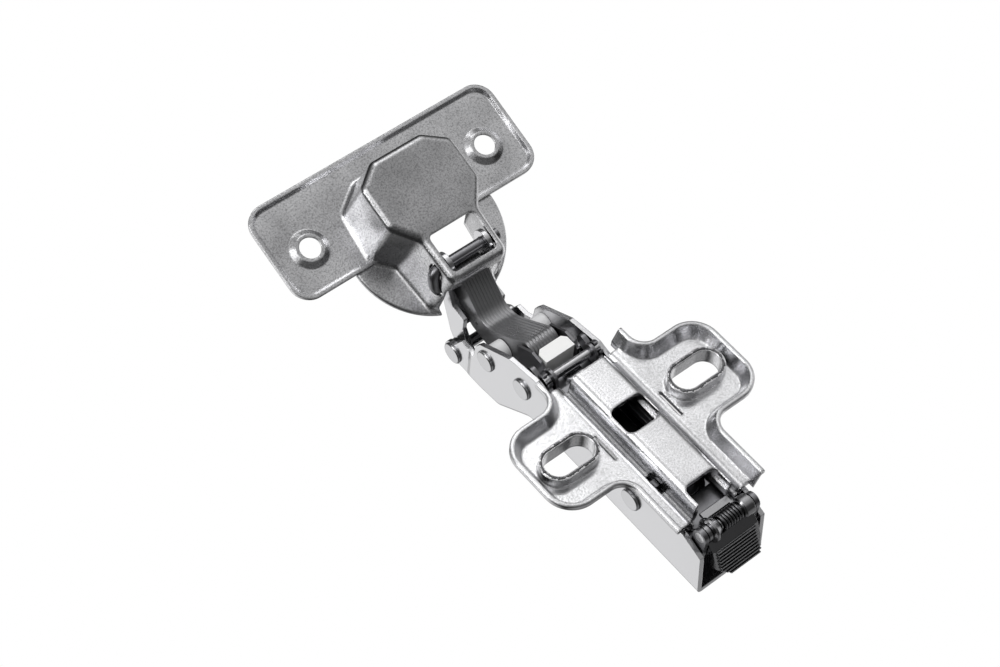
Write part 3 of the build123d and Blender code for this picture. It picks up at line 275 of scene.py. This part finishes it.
# ------------------------------------------------------------------ torn lips of the drawn slots
# Drawing the slots' collars tears the sheet: a ragged lip stays on each collar's end, 0.4 mm short
# of the cabinet. It is bare sheared steel, darker and rougher than the plating round it.
def torn_lip(name, middle_z, steps=260, sides=8):
    """A ragged ring on a collar's end: a tube carried once round a slot.

    The path at s is the slot's outline, two half circles joined by straight runs, pushed outward by
    nearly half the collar's wall. The tube's radius at s is a base plus a sum of sines of s with
    whole periods, so that it closes, and v turns round the tube, which is wider than it is high.
    """
    slot_length, slot_width, wall = 11.0, 5.8, 0.9
    collar_end, sunk = 0.4, 0.02
    thickness, unevenness, widening = 0.15, 0.1, 1.5
    radius = (slot_width + 0.9 * wall) / 2
    run = slot_length - slot_width
    outline = 2 * run + 2 * np.pi * radius
    s = np.arange(steps) / steps * outline
    arc = np.pi * radius
    turn = np.select([s < arc, s < arc + run, s < 2 * arc + run],
                     [s / radius, np.full(steps, np.pi), np.pi + (s - arc - run) / radius], 2 * np.pi)
    along = np.select([s < arc, s < arc + run, s < 2 * arc + run],
                      [np.full(steps, run / 2), run / 2 - (s - arc), np.full(steps, -run / 2)],
                      -run / 2 + (s - 2 * arc - run))
    phase = 2 * np.pi * s / outline
    ragged = (0.3 * np.sin(9 * phase + middle_z) + 0.3 * np.sin(17 * phase + 1.3 * middle_z)
              + 0.25 * np.sin(31 * phase) + 0.3 * np.sin(53 * phase + 2.0))
    thick = thickness + unevenness * ragged
    v = np.arange(sides) / sides * 2 * np.pi
    out = radius + unevenness * ragged[:, None] + widening * thick[:, None] * np.cos(v)
    x = collar_end - sunk + thick[:, None] * np.sin(v)
    y = out * np.cos(turn)[:, None]
    z = middle_z + along[:, None] + out * np.sin(turn)[:, None]
    grid = np.arange(steps * sides).reshape(steps, sides)
    ahead, aside = np.roll(grid, -1, axis=0), np.roll(grid, -1, axis=1)
    faces = np.stack([grid, ahead, np.roll(aside, -1, axis=0), aside], axis=-1).reshape(-1, 4)
    mesh = bpy.data.meshes.new(name)
    mesh.from_pydata((np.stack([x, y, z], axis=-1) * MM).reshape(-1, 3).tolist(), [], faces.tolist())
    mesh.shade_smooth()
    lip = bpy.data.objects.new(name, mesh)
    scene.collection.objects.link(lip)
    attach(lip, "plate")
    return lip


sheared_steel = plated_steel("sheared_steel", "#808082", 0.4, grain=0.5)
slot_spacing = 32.0
for name, middle_z in (("torn_lip_near", slot_spacing / 2), ("torn_lip_far", -slot_spacing / 2)):
    torn_lip(name, middle_z).data.materials.append(sheared_steel)

# ------------------------------------------------------------------ slide, depth cam and clip bracket
# Punched and folded sheet inside the hinge, and the riveted cam that shifts it. Their nickel is given a
# darker grey than the outside parts: painted shade for their place inside the hinge.
shade_darkened_steel = plated_steel("shade_darkened_nickel", "#8E8E91", 0.3)
dress(shade_darkened_steel, "cam_stud", "depth_cam", "slide_plate", "clip_bracket")

# ------------------------------------------------------------------ pins and screw of the mounting side
# The cross pin that the bracket hooks on, the rivet that the arm tilts on, the side screw and the
# lever's axle: cold-headed and turned steel, plated and tumbled, with a sharp light along each pin.
headed_steel = plated_steel("tumbled_nickel", "#CFCFD1", 0.18)
dress(headed_steel, "hook_pin", "tilt_rivet", "overlay_screw", "lever_axle")

# ------------------------------------------------------------------ release lever and its spring
# A pressed steel lever at the rear, ribbed for the thumb, turning on a plain axle against a coil of
# hard-drawn wire. Its black-nickel face is dark and every rib's edge shines.
dress(plated_steel("black_nickel", "#A4A4A6", 0.2, edge_mm=0.2), "release_lever")
spring_wire = plated_steel("oiled_spring_wire", "#6E6E70", 0.25)
dress(spring_wire, "lever_spring")

# ------------------------------------------------------------------ arm and outer link
# The arm is a cranked channel of 1 mm sheet with a closed nose, and the outer link is folded from
# one sheet. Both are polished before plating: their walls are the smoothest surfaces of the hinge,
# with only a faint unevenness in what they mirror.
dress(plated_steel("polished_nickel", "#DCDCDE", 0.2, grain=0.04, edge_mm=0.2), "arm", "outer_link")

# ------------------------------------------------------------------ arm pins and closing spring
# Headed pins through the arm's walls carry the links; a double torsion spring on the outer link's
# pin closes the door. The pins are tumbled nickel, the spring oiled wire.
dress(headed_steel, "outer_link_pin", "inner_link_pin", "side_rivets")
dress(spring_wire, "closing_spring")


# ------------------------------------------------------------------ damper and sleeves
# The soft-close unit: a nylon housing and a white acetal slider on two steel rods in a sheet guide,
# and two acetal sleeves on the inner link's pin. All plastic parts are injection-moulded.
def moulded_plastic(name, tint, roughness):
    """Moulded plastic: an even colour under the faint orange peel that the mould leaves."""
    peel_mm, peel_depth_mm = 0.8, 0.01
    material, tree = new_material(name)
    place = add_node(tree, "TexCoord").outputs["Object"]
    peel = add_node(tree, "TexNoise", None, Vector=place, Scale=1 / (peel_mm * MM),
                    Detail=2.0).outputs[0]
    normal = add_node(tree, "Bump", None, Height=peel, Strength=0.4,
                      Distance=peel_depth_mm * MM).outputs[0]
    finish_material(tree, add_node(tree, "BsdfPrincipled", None, Base_Color=linear(tint),
                                   Roughness=roughness, Normal=normal))
    return material


# The sheet guide inside the arm takes the same darker grey, as painted shade.
dress(shade_darkened_steel, "damper_guide")
dress(headed_steel, "damper_rods")
dress(moulded_plastic("white_acetal", "#F7F7F6", 0.35), "damper_slider")
dress(moulded_plastic("grey_acetal", "#DCDCDD", 0.4), "pin_sleeves")
dress(moulded_plastic("black_nylon", "#1C1C1D", 0.45), "damper_housing")

# ------------------------------------------------------------------ laminated inner link
# Nine punched plates riveted in a stack. Their edges are sheared and only thinly plated, and the joint
# between one plate and the next shows as a dark line, deepened with painted shade from the darkening in
# creases.
link_steel = plated_steel("sheared_edge_nickel", "#8E8E90", 0.3, edge_mm=0.05, metallic=0.7)
dress(link_steel, *(f"inner_link_plate_{index}" for index in range(1, 10)))
dress(headed_steel, "inner_link_rivet")

# ------------------------------------------------------------------ hinge cup
# A 35 mm cup deep-drawn from one sheet with its flange, and a bent wire axle through its walls.
# The satin nickel is frosted by the drawing, light where it bends and dull on its flat bottom.
bottom_middle = (-3.7 * MM, -63.8 * MM, 0.0)
bottom_radius = 13.4 * MM
dress(plated_steel("satin_nickel", "#F4F4F6", 0.2, grain=0.7, grain_mm=0.36, edge_mm=0.4,
                   dull_spot=(bottom_middle, bottom_radius)), "hinge_cup")
# The axle deep in the cup takes the same darker grey, as painted shade.
dress(shade_darkened_steel, "hairpin_axle")
